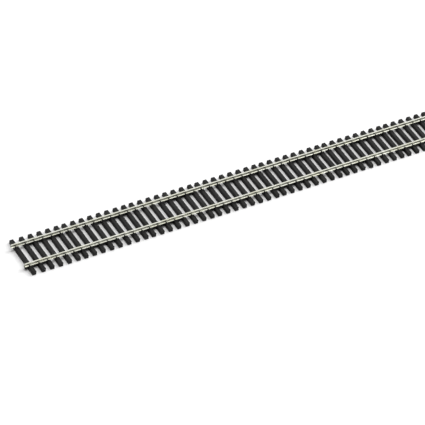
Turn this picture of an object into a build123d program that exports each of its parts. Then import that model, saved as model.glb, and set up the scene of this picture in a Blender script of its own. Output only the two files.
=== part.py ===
"""A yard of 16.5 mm gauge flexible model railway track.

Two flat-bottomed rails slide lengthways in the moulded chairs of a sleeper base. The base is made of
sections of eight sleepers, tied together by webs that lie under one rail or the other, so that the track
can be bent sideways. +X runs along the track, +Y is its left side and +Z is up. The origin is the centre
of the track, at the level it stands on.
"""
from build123d import *
import os
from math import radians, tan

# Driving dimensions, in millimetres
TRACK_LENGTH = 914.4
TRACK_GAUGE = 16.5

SLEEPER_COUNT = 160
SLEEPER_LENGTH = 30.0
SLEEPER_WIDTH = 2.7
SLEEPER_HEIGHT = 2.3
SLEEPER_EDGE_RADIUS = 0.2
MOULD_DRAFT = 2.0
FIRST_OVERHANG = 2.2

SECTION_SLEEPERS = 8
SECTIONS_PER_LENGTH = 20
FIRST_SECTION_SLEEPERS = 6
JOIN_SHORTENING = 0.6
END_STRETCH = 0.5

RAIL_HEIGHT = 1.9
HEAD_WIDTH = 0.86
HEAD_DEPTH = 0.46
HEAD_SLOPE = 0.1
HEAD_RADIUS = 0.18
WEB_THICKNESS = 0.42
FOOT_WIDTH = 1.9
FOOT_EDGE = 0.2
FOOT_SLOPE = 0.2
FILLET_RADIUS = 0.14

CHAIR_PLATE_LENGTH = 2.1
CHAIR_PLATE_WIDTH = 4.2
CHAIR_PLATE_THICKNESS = 0.36
JAW_LENGTH = 0.6
JAW_STAGGER = 0.65
JAW_HEIGHT = 1.05
JAW_REACH = 1.65
JAW_TOP_REACH = 1.3
JAW_LIP = 0.42
JAW_LIP_FALL = 0.12

# The rail's foot stands this far above its plate and clear of the jaws
RUNNING_CLEARANCE = 0.04
JAW_CLEARANCE = 0.05

# Gaps between sleepers, counted from 0 in each run of eight, that have a tie under the left or right rail
LEFT_TIED_GAPS = (1, 2, 3, 4)
RIGHT_TIED_GAPS = (5, 6, 7, 0, 1)
TIE_WIDTH = 2.1
TIE_BOTTOM = 0.9
TIE_EMBED = 0.8
TIE_STUB_SETBACK = 0.3

# How closely a corner has to match its named place to be rounded
MATCH = 0.01

# Worked out from the driving dimensions
SECTION_LENGTH = TRACK_LENGTH / SECTIONS_PER_LENGTH
PITCH = (SECTION_LENGTH + JOIN_SHORTENING) / SECTION_SLEEPERS
RAIL_OFFSET = (TRACK_GAUGE + HEAD_WIDTH) / 2
CHAIR_TOP = SLEEPER_HEIGHT + CHAIR_PLATE_THICKNESS
RAIL_BASE = CHAIR_TOP + RUNNING_CLEARANCE
RAIL_TOP = RAIL_BASE + RAIL_HEIGHT


def is_join(gap):
    """True where one moulded section ends and the next begins. Gap 0 follows sleeper 0."""
    return gap % SECTION_SLEEPERS == FIRST_SECTION_SLEEPERS - 1


def gap_spacing(gap):
    """Centre to centre distance of the two sleepers at a gap."""
    spacing = PITCH
    if is_join(gap):
        spacing -= JOIN_SHORTENING
    if gap == 0:
        spacing += END_STRETCH
    return spacing


def tied_sides(gap):
    """The rails that have a tie under them at a gap: +1 is the left rail and -1 the right."""
    place = gap % SECTION_SLEEPERS
    sides = []
    if place in LEFT_TIED_GAPS:
        sides.append(1)
    if place in RIGHT_TIED_GAPS:
        sides.append(-1)
    return sides


def sleeper_places():
    """X of each sleeper's centre, from the first to the last."""
    places = [-TRACK_LENGTH / 2 + FIRST_OVERHANG + SLEEPER_WIDTH / 2]
    for gap in range(SLEEPER_COUNT - 1):
        places.append(places[-1] + gap_spacing(gap))
    return places


def rail_outline():
    """The rail's section in Y and Z, standing on Z = 0."""
    web_top = RAIL_HEIGHT - HEAD_DEPTH - HEAD_SLOPE
    right_half = [
        (FOOT_WIDTH / 2, 0),
        (FOOT_WIDTH / 2, FOOT_EDGE),
        (WEB_THICKNESS / 2, FOOT_EDGE + FOOT_SLOPE),
        (WEB_THICKNESS / 2, web_top),
        (HEAD_WIDTH / 2, web_top + HEAD_SLOPE),
        (HEAD_WIDTH / 2, RAIL_HEIGHT),
    ]
    left_half = [(-y, z) for y, z in reversed(right_half)]
    outline = make_face(Polyline(*right_half, *left_half, close=True))
    head_corners = outline.vertices().filter_by(lambda v: v.Y > RAIL_HEIGHT - MATCH)
    outline = fillet(head_corners, HEAD_RADIUS)
    web_corners = outline.vertices().filter_by(lambda v: abs(abs(v.X) - WEB_THICKNESS / 2) < MATCH)
    return fillet(web_corners, FILLET_RADIUS)


def rail(side):
    """One rail, on the left (+1) or the right (-1)."""
    bar = extrude(Plane.YZ * rail_outline(), TRACK_LENGTH)
    return Pos(-TRACK_LENGTH / 2, side * RAIL_OFFSET, RAIL_BASE) * bar


def jaw_outline():
    """A jaw's section in Y and Z, for the left of a rail, above the sleeper's top."""
    slope = FOOT_SLOPE / (FOOT_WIDTH / 2 - WEB_THICKNESS / 2)
    foot_side = FOOT_WIDTH / 2 + JAW_CLEARANCE
    foot_corner = CHAIR_PLATE_THICKNESS + RUNNING_CLEARANCE + FOOT_EDGE + JAW_CLEARANCE
    lip_bottom = foot_corner + slope * (foot_side - JAW_LIP)
    points = [
        (foot_side, 0),
        (JAW_REACH, 0),
        (JAW_TOP_REACH, JAW_HEIGHT),
        (JAW_LIP, JAW_HEIGHT - JAW_LIP_FALL),
        (JAW_LIP, lip_bottom),
        (foot_side, foot_corner),
    ]
    return make_face(Polyline(*points, close=True))


def chair():
    """The plate under a rail and the two jaws that hold its foot, one ahead of the other, on Z = 0."""
    plate = Pos(0, 0, CHAIR_PLATE_THICKNESS / 2) * Box(
        CHAIR_PLATE_LENGTH, CHAIR_PLATE_WIDTH, CHAIR_PLATE_THICKNESS
    )
    jaw = Pos(JAW_STAGGER - JAW_LENGTH / 2, 0, 0) * extrude(Plane.YZ * jaw_outline(), JAW_LENGTH)
    return plate + jaw + Rot(0, 0, 180) * jaw


def sleeper():
    """One sleeper with its two chairs, centred on the origin and standing on Z = 0."""
    blank = extrude(Rectangle(SLEEPER_WIDTH, SLEEPER_LENGTH), SLEEPER_HEIGHT, taper=MOULD_DRAFT)
    blank = fillet(blank.edges().group_by(Axis.Z)[-1], SLEEPER_EDGE_RADIUS)
    for side in (1, -1):
        blank += Pos(0, side * RAIL_OFFSET, SLEEPER_HEIGHT) * chair()
    return blank


def tie(start, end, side):
    """A web under a rail, from one X to another."""
    height = SLEEPER_HEIGHT - TIE_BOTTOM
    middle = Pos((start + end) / 2, side * RAIL_OFFSET, TIE_BOTTOM + height / 2)
    return middle * Box(end - start, TIE_WIDTH, height)


def tie_span(gap, first, last, places):
    """The start and end of a tie, or of the half that one section holds. The first tie is cut short."""
    reach = SLEEPER_WIDTH / 2 - TIE_EMBED
    if gap < 0:
        return TIE_STUB_SETBACK - TRACK_LENGTH / 2, places[0] - reach
    start = places[gap] + reach
    end = places[gap + 1] - reach
    middle = (places[gap] + places[gap + 1]) / 2
    if gap == first - 1:
        start = middle
    if gap == last:
        end = middle
    return start, end


def section(first, last, places):
    """Sleepers first to last as one moulding, with ties inside it and half ties to its neighbours."""
    body = Part() + [Pos(places[index], 0, 0) * sleeper() for index in range(first, last + 1)]
    for gap in range(first - 1, min(last, SLEEPER_COUNT - 2) + 1):
        start, end = tie_span(gap, first, last, places)
        for side in tied_sides(gap):
            body += tie(start, end, side)
    return body


def section_ranges():
    """The first and last sleeper of each section, along the track."""
    ends = [gap for gap in range(SLEEPER_COUNT - 1) if is_join(gap)] + [SLEEPER_COUNT - 1]
    starts = [0] + [end + 1 for end in ends[:-1]]
    return list(zip(starts, ends))


def main():
    os.makedirs("parts", exist_ok=True)
    places = sleeper_places()
    last_overhang = TRACK_LENGTH / 2 - places[-1] - SLEEPER_WIDTH / 2
    print(f"pitch {PITCH:.3f}, rail top {RAIL_TOP:.3f}, last overhang {last_overhang:.3f}")
    export_step(rail(1), "parts/left_rail.step")
    export_step(rail(-1), "parts/right_rail.step")
    for number, (first, last) in enumerate(section_ranges(), start=1):
        export_step(section(first, last, places), f"parts/sleeper_section_{number:02d}.step")


main()
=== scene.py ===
"""Looks for a yard of flexible model railway track.

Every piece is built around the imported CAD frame: the two rails, and one moulding for each section of the
sleeper base. Places are read from the frame. Sizes are in millimetres until a mesh is made, in metres.
"""

import math
import random

import bpy
import numpy as np
from mathutils import Matrix, Vector, noise


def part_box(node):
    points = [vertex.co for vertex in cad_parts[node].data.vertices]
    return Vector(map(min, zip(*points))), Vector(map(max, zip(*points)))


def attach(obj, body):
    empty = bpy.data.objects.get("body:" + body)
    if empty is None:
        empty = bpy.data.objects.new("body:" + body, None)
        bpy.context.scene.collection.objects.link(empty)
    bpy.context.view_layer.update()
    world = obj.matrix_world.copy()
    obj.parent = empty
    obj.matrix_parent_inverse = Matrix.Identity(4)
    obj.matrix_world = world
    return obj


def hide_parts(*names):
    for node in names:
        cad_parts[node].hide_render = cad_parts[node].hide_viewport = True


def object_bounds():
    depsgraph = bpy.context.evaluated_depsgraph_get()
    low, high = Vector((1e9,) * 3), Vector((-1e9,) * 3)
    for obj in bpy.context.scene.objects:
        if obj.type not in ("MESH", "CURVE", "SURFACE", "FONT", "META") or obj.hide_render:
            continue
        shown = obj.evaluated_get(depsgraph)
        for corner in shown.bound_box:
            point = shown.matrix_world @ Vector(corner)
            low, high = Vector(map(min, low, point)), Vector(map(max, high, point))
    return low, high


MM = 0.001

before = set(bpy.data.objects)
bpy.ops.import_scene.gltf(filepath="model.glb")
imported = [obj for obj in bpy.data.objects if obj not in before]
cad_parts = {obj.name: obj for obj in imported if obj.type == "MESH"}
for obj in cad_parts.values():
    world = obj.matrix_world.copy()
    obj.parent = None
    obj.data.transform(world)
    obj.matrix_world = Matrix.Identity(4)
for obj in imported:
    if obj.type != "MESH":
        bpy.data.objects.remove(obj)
CAD_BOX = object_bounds()
SECTIONS = sorted(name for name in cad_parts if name.startswith("sleeper_section"))
RAILS = {"left_rail": "left_rail_bar", "right_rail": "right_rail_bar"}

# The rail's section, apart from its height and the width of its foot
HEAD_WIDTH = 0.86
HEAD_DEPTH = 0.46
HEAD_SLOPE = 0.1
HEAD_RADIUS = 0.18
WEB_THICKNESS = 0.42
FOOT_EDGE = 0.2
FOOT_SLOPE = 0.2
FOOT_RADIUS = 0.06
FILLET_RADIUS = 0.14
HEAD_LOWER_RADIUS = 0.06
RAIL_STEP = 3.0
RAIL_WANDER = 0.03
WANDER_LENGTH = 37.0
WANDER_SEED = 9.0
CUT_CHAMFER = 0.012

# How finely curves are cut
CORNER_STEPS = 5
EDGE_STEPS = 3
ZONE_STEPS = 5
SMOOTH_ANGLE = 35

# Sleepers, chairs and ties
SLEEPER_WIDTH = 2.7
SLEEPER_HEIGHT = 2.3
SLEEPER_RADIUS = 0.22
END_RADIUS = 0.35
MOULD_DRAFT = 2.0
SLEEPER_STEPS = (9, 42)
SLEEPER_YAW = 0.25
CHAIR_PLATE = (2.1, 4.2, 0.36)
PLATE_RADIUS = 0.08
CHAIR_SINK = 0.02
JAW_LENGTH = 0.6
JAW_STAGGER = 0.65
JAW_SINK = 0.02
JAW_ROOT = 1.68
JAW_SHOULDER = (1.65, 0.4, 0.08)
JAW_TOP = (1.3, 1.05, 0.12)
JAW_NOSE = (0.52, 0.98, 0.08)
JAW_LIP = 0.42
JAW_SIDE_GAP = 0.05
JAW_FOOT_GAP = 0.09
JAW_BEVEL = 0.07
JAW_BEVEL_SCALE = 0.9
BOLT_PROFILE = ((0.3, -0.05), (0.3, 0.1), (0.24, 0.18), (0.12, 0.22))
BOLT_SIDES = 10
BOLT_OFFSET = 1.5
TIE_WIDTH = 2.1
TIE_BOTTOM = 0.9
TIE_EMBED = 0.15
TIE_SETDOWN = 0.05
TIE_RADIUS = 0.14

# Wood grain: its depth, and (waves per mm across, waves per mm along, seed, share of the depth) of each noise
GRAIN_DEPTH = 0.07
GRAIN_MEAN = 0.2
FINE_GRAIN = (3.2, 0.22, 0.0, 0.55)
BROAD_GRAIN = (1.1, 0.10, 31.7, 0.25)
CRACK_GRAIN = (1.7, 0.07, 77.1, 0.6)
CRACK_WIDTH = 0.12
GRAIN_SHOULDER = 0.6
SIDE_GRAIN_SHARE = 0.5

# Colours, linear
PLASTIC_TONES = ((0.0062, 0.0060, 0.0057), (0.0080, 0.0078, 0.0072), (0.0100, 0.0096, 0.0090))
PLASTIC_SPECULAR = 0.22
# Painted shade: the rail's colour runs from the first of these at the foot, darker and slightly yellower, to
# the second at the head
NICKEL_SHADED_FOOT = (0.65, 0.655, 0.585)
NICKEL_LIT_HEAD = (0.74, 0.745, 0.68)
NICKEL_DRAWN = ((0.84, 0.84, 0.82), (1.06, 1.06, 1.04))
NICKEL_TARNISH = (0.90, 0.89, 0.80)
NICKEL_CUT = (0.34, 0.34, 0.30)
NICKEL_CUT_ROUGHNESS = 0.6
SHADE_RAMP_MARGIN = 0.3

# Camera, from the track's start
CAMERA_FROM_START = (-618.8, -1039.5, 1168.7)
CAMERA_AZIMUTH = 35.923
CAMERA_ELEVATION = 42.604
CAMERA_ROLL = 8.58
CAMERA_LENS = 243.0
SENSOR_WIDTH = 36.0
CLIP_START = 0.1
CLIP_END = 20

# Light, in metres and watts: a sky that is brightest overhead on the right, an overhead key light, a soft
# side light that falls between the sleepers from the right, and a panel that shows in the rails' feet
SKY_LEAN = (0.5, 0.3, 0.81)
SKY_FADE = (-0.15, 0.95)
SKY_DIM = 0.0
SKY_BRIGHT = 1.12
KEY_PLACE = (-0.38, 0.35, 1.9)
KEY_SIZE = 0.8
KEY_POWER = 11
SIDE_PLACE = (2.2, 0.2, 1.9)
SIDE_SIZE = 1.5
SIDE_POWER = 40
PANEL_PLACE = (1.05, 0.3, 2.0)
PANEL_SIZE = 1.0
PANEL_POWER = 5
FLOOR_TONE = 0.89
FLOOR_ROUGHNESS = 0.9
FLOOR_HALF = 6


# ---------------------------------------------------------------- reading the frame

def spans(values, gap=0.2):
    """Sorted numbers as (first, last) of each run that has no break wider than gap."""
    runs = []
    for value in sorted(values):
        if runs and value - runs[-1][1] <= gap:
            runs[-1][1] = value
        else:
            runs.append([value, value])
    return runs


def node_points(name):
    """A CAD node's vertices in millimetres."""
    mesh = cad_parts[name].data
    flat = np.empty(len(mesh.vertices) * 3, np.float32)
    mesh.vertices.foreach_get("co", flat)
    return flat.reshape(-1, 3).astype(float) / MM


def edges_along(points):
    """The X of each edge that crosses the track, in pairs of start and end."""
    ends = [(first + last) / 2 for first, last in spans(points[:, 0])]
    return list(zip(ends[::2], ends[1::2]))


def sleepers_of(section):
    """The middle of each sleeper, from the edges of its underside."""
    points = node_points(section)
    return [(start + end) / 2 for start, end in edges_along(points[points[:, 2] < 0.01])]


def ties_of(section):
    """(start, end, side) of each tie, from the edges of its lower face."""
    points = node_points(section)
    level = points[abs(points[:, 2] - TIE_BOTTOM) < 0.02]
    ties = []
    for side in (1, -1):
        ties += [(start, end, side) for start, end in edges_along(level[level[:, 1] * side > 0])]
    return ties


RAIL_LOW, RAIL_HIGH = (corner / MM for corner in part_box("left_rail"))
RAIL_OFFSET = (RAIL_LOW.y + RAIL_HIGH.y) / 2
RAIL_HEIGHT = RAIL_HIGH.z - RAIL_LOW.z
FOOT_WIDTH = RAIL_HIGH.y - RAIL_LOW.y
SLEEPER_LENGTH = 2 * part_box(SECTIONS[0])[1].y / MM


# ---------------------------------------------------------------- mesh building

class Builder:
    """Gathers closed shells, in millimetres, and turns them into one mesh."""

    def __init__(self):
        self.points = []
        self.faces = []
        self.tones = []

    def add(self, points, faces, tone=0.5):
        start = len(self.points)
        self.points.extend(points)
        self.faces.extend([tuple(start + corner for corner in face) for face in faces])
        self.tones.extend(tone if isinstance(tone, list) else [tone] * len(points))

    def finish(self, name):
        mesh = bpy.data.meshes.new(name)
        mesh.from_pydata([tuple(MM * value for value in point) for point in self.points], [], self.faces)
        tone = mesh.attributes.new("tone", "FLOAT", "POINT")
        tone.data.foreach_set("value", self.tones)
        mesh.validate()
        mesh.shade_smooth()
        mesh.set_sharp_from_angle(angle=math.radians(SMOOTH_ANGLE))
        piece = bpy.data.objects.new(name, mesh)
        bpy.context.scene.collection.objects.link(piece)
        return piece


def arc(centre, radius, start, end, steps=CORNER_STEPS):
    """Points of an arc from one angle to another, in degrees."""
    angles = [math.radians(start + (end - start) * step / steps) for step in range(steps + 1)]
    return [(centre[0] + radius * math.cos(a), centre[1] + radius * math.sin(a)) for a in angles]


def rounded(corners):
    """An outline through (y, z, radius) corners, each rounded to its radius."""
    outline = []
    count = len(corners)
    for index, (y, z, radius) in enumerate(corners):
        here = Vector((y, z))
        before = (Vector(corners[index - 1][:2]) - here).normalized()
        after = (Vector(corners[(index + 1) % count][:2]) - here).normalized()
        half = before.angle(after) / 2
        if radius == 0 or half > math.radians(89):
            outline.append((y, z))
            continue
        middle = here + (before + after).normalized() * (radius / math.sin(half))
        first = here + before * (radius / math.tan(half)) - middle
        last = here + after * (radius / math.tan(half)) - middle
        start = math.degrees(math.atan2(first.y, first.x))
        turn = (math.degrees(math.atan2(last.y, last.x)) - start + 180) % 360 - 180
        outline += arc(middle, radius, start, start + turn)
    return outline


def loft(rings):
    """Points and faces of a closed shell through rings of equal length, with flat ends."""
    count = len(rings[0])
    points = [point for ring in rings for point in ring]
    faces = []
    for row in range(len(rings) - 1):
        for place in range(count):
            after = (place + 1) % count
            faces.append((
                row * count + place,
                row * count + after,
                (row + 1) * count + after,
                (row + 1) * count + place,
            ))
    faces.append(tuple(reversed(range(count))))
    last = (len(rings) - 1) * count
    faces.append(tuple(range(last, last + count)))
    return points, faces


def stops(half, radius, middle_steps, zone=0.0):
    """Places from -half to half, close together over the rounded edges and in a zone at each end."""
    edge = [radius * step / EDGE_STEPS for step in range(EDGE_STEPS)]
    if zone > radius:
        edge += [radius + (zone - radius) * step / ZONE_STEPS for step in range(ZONE_STEPS)]
    inner = half - max(radius, zone)
    middle = [-inner + 2 * inner * step / middle_steps for step in range(middle_steps + 1)]
    return [-half + place for place in edge] + middle + [half - place for place in reversed(edge)]


def block(length, width, height, radius, steps, draft=0.0, zone=0.0):
    """A block standing on Z = 0 with a flat bottom, its other edges rounded, as points and faces."""
    xs = stops(length / 2, radius, steps[0])
    ys = stops(width / 2, radius, steps[1], zone)
    zs = [0.0] + [height - radius + radius * step / EDGE_STEPS for step in range(EDGE_STEPS + 1)]
    index = {}
    points = []
    faces = []
    slope = math.tan(math.radians(draft))

    def corner(x, y, z):
        key = (x, y, z)
        if key not in index:
            inner = Vector((
                max(-length / 2 + radius, min(length / 2 - radius, x)),
                max(-width / 2 + radius, min(width / 2 - radius, y)),
                min(height - radius, z),
            ))
            out = Vector(key) - inner
            if out.length > 0:
                out = out.normalized() * radius
            place = inner + out
            index[key] = len(points)
            points.append((
                place.x * (1 - slope * place.z / (length / 2)),
                place.y * (1 - slope * place.z / (width / 2)),
                place.z,
            ))
        return index[key]

    def sheet(us, vs, at, flip):
        for u0, u1 in zip(us, us[1:]):
            for v0, v1 in zip(vs, vs[1:]):
                face = [corner(*at(u, v)) for u, v in ((u0, v0), (u1, v0), (u1, v1), (u0, v1))]
                faces.append(tuple(reversed(face)) if flip else tuple(face))

    sheet(xs, ys, lambda u, v: (u, v, height), False)
    for sign in (1, -1):
        sheet(xs, zs, lambda u, v: (u, sign * width / 2, v), sign > 0)
        sheet(ys, zs, lambda u, v: (sign * length / 2, u, v), sign < 0)
    rim = [(x, -width / 2, 0.0) for x in xs[:-1]] + [(length / 2, y, 0.0) for y in ys[:-1]]
    rim += [(x, width / 2, 0.0) for x in reversed(xs[1:])] + [(-length / 2, y, 0.0) for y in reversed(ys[1:])]
    faces.append(tuple(reversed([corner(*place) for place in rim])))
    return points, faces


# ---------------------------------------------------------------- sleeper base

def grain_noise(x, y, seed, layer):
    """One layer of the grain, from -1 to 1."""
    across, along, shift, share = layer
    return noise.noise(Vector((x * across, y * along, seed + shift)))


def grain(x, y, seed):
    """Depth of the moulded wood grain, from 0 at the surface to 1 in a crack. The cracks run along Y."""
    fine = FINE_GRAIN[3] * grain_noise(x, y, seed, FINE_GRAIN)
    broad = BROAD_GRAIN[3] * grain_noise(x, y, seed, BROAD_GRAIN)
    nearness = max(0.0, CRACK_WIDTH - abs(grain_noise(x, y, seed, CRACK_GRAIN))) / CRACK_WIDTH
    return GRAIN_MEAN + fine + broad + CRACK_GRAIN[3] * nearness


def grained(points, seed):
    """Sleeper points with the grain pressed into the top, and less of it into the sides and ends."""
    moved = []
    for x, y, z in points:
        if z < 0.01:
            moved.append((x, y, z))
            continue
        high = max(0.0, min(1.0, (z - SLEEPER_HEIGHT + GRAIN_SHOULDER) / GRAIN_SHOULDER))
        depth = GRAIN_DEPTH * grain(x, y, seed)
        inward = SIDE_GRAIN_SHARE * depth * (1 - high)
        moved.append((x - math.copysign(inward, x), y, z - depth * high))
    return moved


def blunted(points):
    """Sleeper points with the corners of the ends rounded in plan."""
    moved = []
    for x, y, z in points:
        past = abs(y) - (SLEEPER_LENGTH / 2 - END_RADIUS)
        if past > 0:
            fall = END_RADIUS - math.sqrt(max(0.0, END_RADIUS ** 2 - past ** 2))
            x *= 1 - fall / (SLEEPER_WIDTH / 2)
        moved.append((x, y, z))
    return moved


def placed(points, x, y, z=0.0, yaw=0.0):
    """Points turned about Z and moved."""
    c, s = math.cos(yaw), math.sin(yaw)
    return [(x + c * px - s * py, y + s * px + c * py, z + pz) for px, py, pz in points]


def jaw_outline():
    """A jaw's section in Y and Z, for the left of a rail, above the sleeper's top."""
    foot_side = FOOT_WIDTH / 2 + JAW_SIDE_GAP
    foot_top = CHAIR_PLATE[2] + FOOT_EDGE + JAW_FOOT_GAP
    slope = FOOT_SLOPE / (FOOT_WIDTH / 2 - WEB_THICKNESS / 2)
    return rounded([
        (foot_side, JAW_SINK, 0),
        (JAW_ROOT, JAW_SINK, 0),
        JAW_SHOULDER,
        JAW_TOP,
        JAW_NOSE,
        (JAW_LIP, foot_top + slope * (foot_side - JAW_LIP), 0),
        (foot_side, foot_top, 0),
    ])


def jaw(side):
    """One jaw of a chair, as points and faces. The left jaw stands ahead of the right one."""
    outline = [(y * side, z) for y, z in jaw_outline()]
    if side < 0:
        outline.reverse()
    half = JAW_LENGTH / 2
    middle = Vector((sum(y for y, z in outline), sum(z for y, z in outline))) / len(outline)
    rings = []
    inner = half - JAW_BEVEL
    for x, shrink in ((-half, JAW_BEVEL_SCALE), (-inner, 1.0), (inner, 1.0), (half, JAW_BEVEL_SCALE)):
        rings.append([
            (
                side * JAW_STAGGER + x,
                middle.x + (y - middle.x) * shrink,
                middle.y + (z - middle.y) * shrink,
            )
            for y, z in outline
        ])
    return loft(rings)


def bolt_head():
    """A small domed head, as points and faces."""
    turns = [math.tau * side / BOLT_SIDES for side in range(BOLT_SIDES)]
    return loft([
        [(radius * math.cos(turn), radius * math.sin(turn), height) for turn in turns]
        for radius, height in BOLT_PROFILE
    ])


def embedded(x, direction, sleepers):
    """An end of a tie, moved a little way into the sleeper that it meets, if it meets one."""
    for middle in sleepers:
        if abs(abs(x - middle) - SLEEPER_WIDTH / 2) < TIE_EMBED:
            return x + direction * TIE_EMBED
    return x


def chair_shells():
    """The shells of one chair, standing on Z = 0 with the rail along X."""
    shells = [block(*CHAIR_PLATE, PLATE_RADIUS, (1, 1)), jaw(1), jaw(-1)]
    points, faces = bolt_head()
    for side in (1, -1):
        shells.append((placed(points, -side * JAW_STAGGER, side * BOLT_OFFSET, CHAIR_PLATE[2]), faces))
    return shells


def tie(start, end):
    """A tie between two X, standing on Z = 0, with its upper edges rounded."""
    height = SLEEPER_HEIGHT - TIE_BOTTOM - TIE_SETDOWN
    outline = rounded([
        (-TIE_WIDTH / 2, 0, 0),
        (TIE_WIDTH / 2, 0, 0),
        (TIE_WIDTH / 2, height, TIE_RADIUS),
        (-TIE_WIDTH / 2, height, TIE_RADIUS),
    ])
    return loft([[(x, y, z) for y, z in outline] for x in (start, end)])


def build_section(name, number, chooser):
    """One moulded section: its sleepers, chairs and ties."""
    builder = Builder()
    blank, blank_faces = block(
        SLEEPER_WIDTH, SLEEPER_LENGTH, SLEEPER_HEIGHT, SLEEPER_RADIUS, SLEEPER_STEPS, MOULD_DRAFT, END_RADIUS
    )
    shells = chair_shells()
    sleepers = sleepers_of(name)
    for x in sleepers:
        tone = chooser.random()
        yaw = math.radians(chooser.uniform(-SLEEPER_YAW, SLEEPER_YAW))
        builder.add(placed(blunted(grained(blank, x)), x, 0.0, 0.0, yaw), blank_faces, tone)
        for side in (1, -1):
            for points, faces in shells:
                builder.add(placed(points, x, side * RAIL_OFFSET, SLEEPER_HEIGHT - CHAIR_SINK), faces, tone)
    for start, end, side in ties_of(name):
        start = embedded(start, -1, sleepers)
        end = embedded(end, 1, sleepers)
        points, faces = tie(start, end)
        builder.add(placed(points, 0.0, side * RAIL_OFFSET, TIE_BOTTOM), faces, 0.5)
    piece = builder.finish(f"moulded_section_{number:02d}")
    piece.data.materials.append(PLASTIC)
    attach(piece, "sleeper_base")
    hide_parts(name)
    return piece


# ---------------------------------------------------------------- rails

def rail_outline():
    """The rail's section in Y and Z, standing on Z = 0."""
    web_top = RAIL_HEIGHT - HEAD_DEPTH - HEAD_SLOPE
    half = [
        (FOOT_WIDTH / 2, 0, FOOT_RADIUS),
        (FOOT_WIDTH / 2, FOOT_EDGE, FOOT_RADIUS),
        (WEB_THICKNESS / 2, FOOT_EDGE + FOOT_SLOPE, FILLET_RADIUS),
        (WEB_THICKNESS / 2, web_top, FILLET_RADIUS),
        (HEAD_WIDTH / 2, web_top + HEAD_SLOPE, HEAD_LOWER_RADIUS),
        (HEAD_WIDTH / 2, RAIL_HEIGHT, HEAD_RADIUS),
    ]
    return rounded(half + [(-y, z, radius) for y, z, radius in reversed(half)])


def build_rail(node, body):
    """One drawn rail, with the slight wander of a bar that has been handled. Its cut ends have tone 1."""
    side = 1 if node == "left_rail" else -1
    outline = rail_outline()
    builder = Builder()
    count = round((RAIL_HIGH.x - RAIL_LOW.x) / RAIL_STEP)
    stations = [RAIL_LOW.x + (RAIL_HIGH.x - RAIL_LOW.x) * step / count for step in range(count + 1)]
    stations.insert(1, RAIL_LOW.x + CUT_CHAMFER)
    stations.insert(-1, RAIL_HIGH.x - CUT_CHAMFER)
    rings = []
    tones = []
    for x in stations:
        sway = RAIL_WANDER * noise.noise(Vector((x / WANDER_LENGTH, side * WANDER_SEED, 0)))
        at_cut = x in (stations[0], stations[-1])
        inset = 1 - 2 * CUT_CHAMFER / FOOT_WIDTH if at_cut else 1
        lift = CUT_CHAMFER if at_cut else 0
        tones += [1.0 if at_cut else 0.0] * len(outline)
        rings.append([
            (x, side * RAIL_OFFSET + y * inset + sway, RAIL_LOW.z + lift + z * (1 - 2 * lift / RAIL_HEIGHT))
            for y, z in outline
        ])
    builder.add(*loft(rings), tones)
    piece = builder.finish(f"drawn_{node}")
    piece.data.materials.append(NICKEL)
    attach(piece, body)
    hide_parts(node)
    return piece


# ---------------------------------------------------------------- materials

def new_material(name):
    """A node material, its tree and its shader."""
    material = bpy.data.materials.new(name)
    material.use_nodes = True
    tree = material.node_tree
    return material, tree, tree.nodes["Principled BSDF"]


def node(tree, kind, **values):
    """A node with its sockets set by name or index."""
    made = tree.nodes.new(kind)
    for key, value in values.items():
        if hasattr(made, key):
            setattr(made, key, value)
        else:
            made.inputs[key.replace("_", " ")].default_value = value
    return made


def stretched_noise(tree, waves, detail=3.0, roughness=0.55):
    """Noise over the object's own coordinates, with waves per metre along X, Y and Z."""
    place = node(tree, "ShaderNodeTexCoord")
    mapping = node(tree, "ShaderNodeMapping", vector_type="POINT")
    mapping.inputs["Scale"].default_value = waves
    texture = node(tree, "ShaderNodeTexNoise", Scale=1.0, Detail=detail, Roughness=roughness)
    tree.links.new(place.outputs["Object"], mapping.inputs["Vector"])
    tree.links.new(mapping.outputs["Vector"], texture.inputs["Vector"])
    return texture.outputs["Fac"]


def grey(level):
    """A colour with three equal parts."""
    return (level, level, level)


def ramp(tree, source, colours):
    """A colour ramp from (place, colour) pairs."""
    made = node(tree, "ShaderNodeValToRGB")
    elements = made.color_ramp.elements
    while len(elements) < len(colours):
        elements.new(0.5)
    for element, (place, colour) in zip(elements, colours):
        element.position = place
        element.color = (*colour, 1.0)
    tree.links.new(source, made.inputs["Fac"])
    return made.outputs["Color"]


def mixed(tree, factor, first, second, blend="MIX"):
    """A colour mix; each argument is a socket or a constant."""
    made = node(tree, "ShaderNodeMix", data_type="RGBA", blend_type=blend)
    for socket, value in ((made.inputs[0], factor), (made.inputs[6], first), (made.inputs[7], second)):
        if isinstance(value, bpy.types.NodeSocket):
            tree.links.new(value, socket)
        elif isinstance(value, (int, float)):
            socket.default_value = value
        else:
            socket.default_value = (*value, 1.0)
    return made.outputs[2]


def bumped(tree, shader, height, strength, distance):
    """Bump from a height socket."""
    made = node(tree, "ShaderNodeBump", Strength=strength, Distance=distance)
    tree.links.new(height, made.inputs["Height"])
    tree.links.new(made.outputs["Normal"], shader.inputs["Normal"])


def plastic_material():
    """Black-brown moulded plastic with a wood grain along Y."""
    material, tree, shader = new_material("sleeper_plastic")
    tone = node(tree, "ShaderNodeAttribute", attribute_name="tone")
    body = ramp(tree, tone.outputs["Fac"], list(zip((0.0, 0.5, 1.0), PLASTIC_TONES)))
    fibre_noise = stretched_noise(tree, (2600, 260, 1500), 4.0, 0.6)
    fibres = ramp(tree, fibre_noise, [(0.32, grey(0.72)), (0.68, grey(1.35))])
    colour = mixed(tree, 1.0, body, fibres, "MULTIPLY")
    tree.links.new(colour, shader.inputs["Base Color"])
    rough = ramp(tree, stretched_noise(tree, (900, 180, 900)), [(0.3, grey(0.5)), (0.7, grey(0.72))])
    tree.links.new(rough, shader.inputs["Roughness"])
    shader.inputs["Specular IOR Level"].default_value = PLASTIC_SPECULAR
    bumped(tree, shader, stretched_noise(tree, (5200, 420, 3000)), 0.5, 0.04 * MM)
    return material


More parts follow.
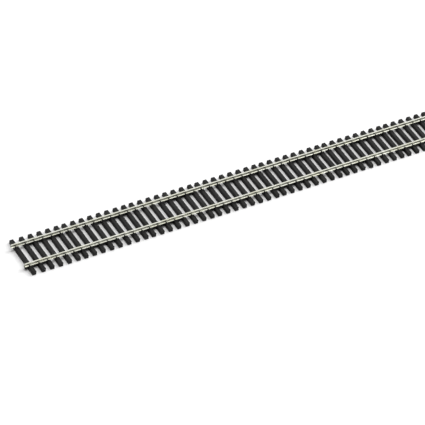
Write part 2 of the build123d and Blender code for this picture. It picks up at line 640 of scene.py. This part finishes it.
def nickel_material():
    """Drawn nickel silver: brightest on the head, with painted shade making it darker and slightly yellower
    below, and dull where it is cut.
    """
    material, tree, shader = new_material("rail_metal")
    place = node(tree, "ShaderNodeTexCoord")
    parts = node(tree, "ShaderNodeSeparateXYZ")
    tree.links.new(place.outputs["Object"], parts.inputs["Vector"])
    # Painted shade: the colour darkens from the head down to the foot, over the rail's height less a margin
    # at each end
    height = node(tree, "ShaderNodeMapRange")
    height.inputs["From Min"].default_value = (RAIL_LOW.z + SHADE_RAMP_MARGIN) * MM
    height.inputs["From Max"].default_value = (RAIL_HIGH.z - SHADE_RAMP_MARGIN) * MM
    tree.links.new(parts.outputs["Z"], height.inputs["Value"])
    painted_shade_by_height = ramp(tree, height.outputs["Result"], [(0.0, NICKEL_SHADED_FOOT), (1.0, NICKEL_LIT_HEAD)])
    streaks = ramp(tree, stretched_noise(tree, (60, 3000, 3000), 4.0), list(zip((0.3, 0.7), NICKEL_DRAWN)))
    tarnish = ramp(tree, stretched_noise(tree, (160, 260, 260)), [(0.42, grey(1.0)), (0.72, NICKEL_TARNISH)])
    colour = mixed(tree, 1.0, mixed(tree, 1.0, painted_shade_by_height, streaks, "MULTIPLY"), tarnish, "MULTIPLY")
    cut = node(tree, "ShaderNodeAttribute", attribute_name="tone")
    colour = mixed(tree, cut.outputs["Fac"], colour, NICKEL_CUT)
    tree.links.new(colour, shader.inputs["Base Color"])
    shader.inputs["Metallic"].default_value = 1.0
    rough = ramp(tree, stretched_noise(tree, (90, 1600, 1600)), [(0.3, grey(0.22)), (0.7, grey(0.36))])
    rough = mixed(tree, cut.outputs["Fac"], rough, grey(NICKEL_CUT_ROUGHNESS))
    tree.links.new(rough, shader.inputs["Roughness"])
    bumped(tree, shader, stretched_noise(tree, (50, 9000, 9000), 2.0), 0.25, 0.01 * MM)
    return material


PLASTIC = plastic_material()
NICKEL = nickel_material()


# ---------------------------------------------------------------- stage

def place_camera():
    """The camera looks down on the track from its near side, a little rolled."""
    azimuth, elevation, roll = (
        math.radians(angle) for angle in (CAMERA_AZIMUTH, CAMERA_ELEVATION, CAMERA_ROLL)
    )
    ahead = Vector((
        math.sin(azimuth) * math.cos(elevation),
        math.cos(azimuth) * math.cos(elevation),
        -math.sin(elevation),
    ))
    level = ahead.cross(Vector((0, 0, 1))).normalized()
    upright = level.cross(ahead)
    right = level * math.cos(roll) + upright * math.sin(roll)
    up = upright * math.cos(roll) - level * math.sin(roll)
    data = bpy.data.cameras.new("camera")
    data.sensor_width = SENSOR_WIDTH
    data.lens = CAMERA_LENS
    data.clip_start = CLIP_START
    data.clip_end = CLIP_END
    camera = bpy.data.objects.new("camera", data)
    turn = Matrix((right, up, -ahead)).transposed().to_4x4()
    start = Vector((CAD_BOX[0].x, 0, 0))
    camera.matrix_world = Matrix.Translation(start + Vector(CAMERA_FROM_START) * MM) @ turn
    bpy.context.scene.collection.objects.link(camera)
    bpy.context.scene.camera = camera


def area_light(name, place, aim, size, power):
    """A square soft light at a place, turned to its aim."""
    data = bpy.data.lights.new(name, "AREA")
    data.size = size
    data.energy = power
    lamp = bpy.data.objects.new(name, data)
    lamp.location = place
    lamp.rotation_euler = (Vector(aim) - Vector(place)).to_track_quat("-Z", "Y").to_euler()
    bpy.context.scene.collection.objects.link(lamp)


def light_stage():
    """A white floor under soft studio light."""
    world = bpy.data.worlds.new("studio")
    bpy.context.scene.world = world
    world.use_nodes = True
    tree = world.node_tree
    background = tree.nodes["Background"]
    place = node(tree, "ShaderNodeTexCoord")
    lean = node(tree, "ShaderNodeVectorMath", operation="DOT_PRODUCT")
    lean.inputs[1].default_value = SKY_LEAN
    level = node(tree, "ShaderNodeMapRange")
    level.inputs["From Min"].default_value = SKY_FADE[0]
    level.inputs["From Max"].default_value = SKY_FADE[1]
    level.inputs["To Min"].default_value = SKY_DIM
    level.inputs["To Max"].default_value = SKY_BRIGHT
    tree.links.new(place.outputs["Generated"], lean.inputs[0])
    tree.links.new(lean.outputs["Value"], level.inputs["Value"])
    tree.links.new(level.outputs["Result"], background.inputs["Color"])
    area_light("key", KEY_PLACE, (0, 0, 0), KEY_SIZE, KEY_POWER)
    area_light("side", SIDE_PLACE, (0, 0, 0), SIDE_SIZE, SIDE_POWER)
    area_light("panel", PANEL_PLACE, (*PANEL_PLACE[:2], 0), PANEL_SIZE, PANEL_POWER)
    floor = bpy.data.objects.new("floor", bpy.data.meshes.new("floor"))
    corners = [(x, y, 0) for x, y in ((-1, -1), (1, -1), (1, 1), (-1, 1))]
    floor.data.from_pydata([(FLOOR_HALF * x, FLOOR_HALF * y, z) for x, y, z in corners], [], [(0, 1, 2, 3)])
    bpy.context.scene.collection.objects.link(floor)
    material, tree, shader = new_material("floor")
    shader.inputs["Base Color"].default_value = (*grey(FLOOR_TONE), 1.0)
    shader.inputs["Roughness"].default_value = FLOOR_ROUGHNESS
    floor.data.materials.append(material)
    bpy.context.scene.view_settings.view_transform = "Standard"


place_camera()
light_stage()
CHOOSER = random.Random(8)
for number, section in enumerate(SECTIONS, start=1):
    build_section(section, number, CHOOSER)
for rail_node, rail_body in RAILS.items():
    build_rail(rail_node, rail_body)
